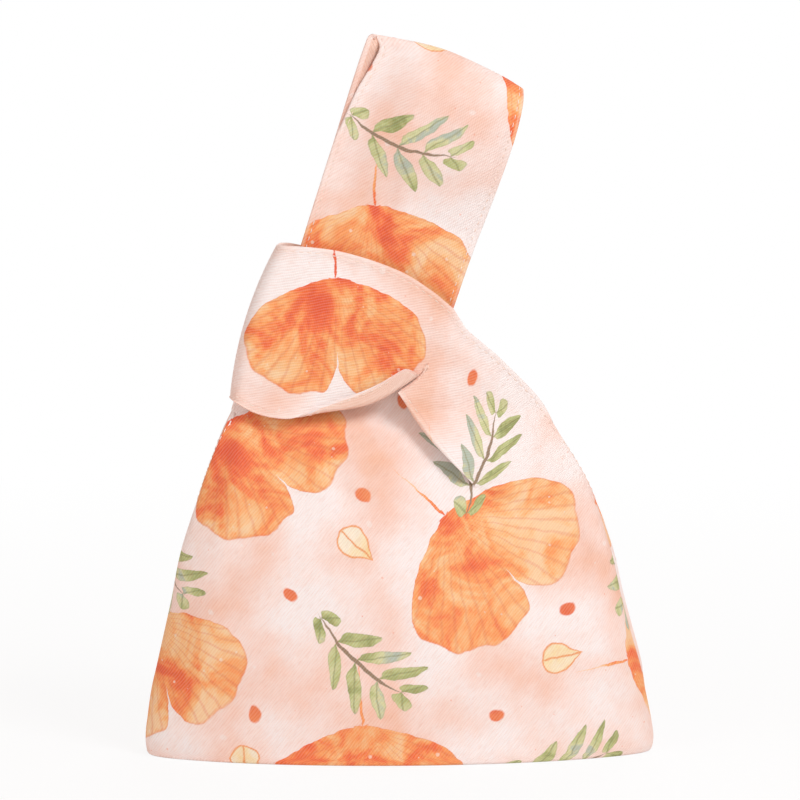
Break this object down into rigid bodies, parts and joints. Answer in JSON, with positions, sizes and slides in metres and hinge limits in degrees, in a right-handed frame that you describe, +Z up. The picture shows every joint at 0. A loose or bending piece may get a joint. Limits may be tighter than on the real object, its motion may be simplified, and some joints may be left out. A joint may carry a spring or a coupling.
{
  "type": "knot bag",
  "caption": "Lined cloth wrist bag that closes by drawing its long handle through the loop of its short handle.",
  "frame": {"origin": "middle of the bottom, on the floor the bag stands on", "axes": "+Z up, +X to the right along the front, +Y from the front to the back"},
  "size_m": [0.2265, 0.0872, 0.3276],
  "materials": {
    "printed_twill": "matte printed cotton twill",
    "lining_twill": "matte plain cotton twill",
    "sewing_thread": "spun polyester thread"
  },
  "bodies": {
    "bag": {"front_panel": "printed_twill", "back_panel": "printed_twill", "front_lining": "lining_twill", "back_lining": "lining_twill", "left_side_seam": "sewing_thread", "right_side_seam": "sewing_thread", "bottom_seam": "sewing_thread", "front_armhole_stitch": "sewing_thread", "back_armhole_stitch": "sewing_thread", "front_neckline_stitch": "sewing_thread", "back_neckline_stitch": "sewing_thread"},
    "long_handle": {"long_handle_front": "printed_twill", "long_handle_back": "printed_twill", "long_handle_front_lining": "lining_twill", "long_handle_back_lining": "lining_twill", "front_long_handle_left_stitch": "sewing_thread", "back_long_handle_left_stitch": "sewing_thread", "front_long_handle_right_stitch": "sewing_thread", "back_long_handle_right_stitch": "sewing_thread", "long_handle_top_seam": "sewing_thread"},
    "short_handle": {"short_handle_front": "printed_twill", "short_handle_back": "printed_twill", "short_handle_front_lining": "lining_twill", "short_handle_back_lining": "lining_twill", "front_short_handle_lower_stitch": "sewing_thread", "back_short_handle_lower_stitch": "sewing_thread", "front_short_handle_upper_stitch": "sewing_thread", "back_short_handle_upper_stitch": "sewing_thread", "short_handle_end_seam": "sewing_thread", "right_shoulder_seam": "sewing_thread"}
  },
  "joints": [
    {"name": "knot_slide", "type": "slide", "parent": "bag", "child": "short_handle", "axis": [0.3007, 0, 0.9537], "range_m": [0, 0.015]},
    {"name": "handle_fold", "type": "hinge", "parent": "bag", "child": "long_handle", "pos_m": [-0.00233, 0, 0.24282], "axis": [0.9537, 0, -0.3007], "range_deg": [-75, 75]}
  ]
}
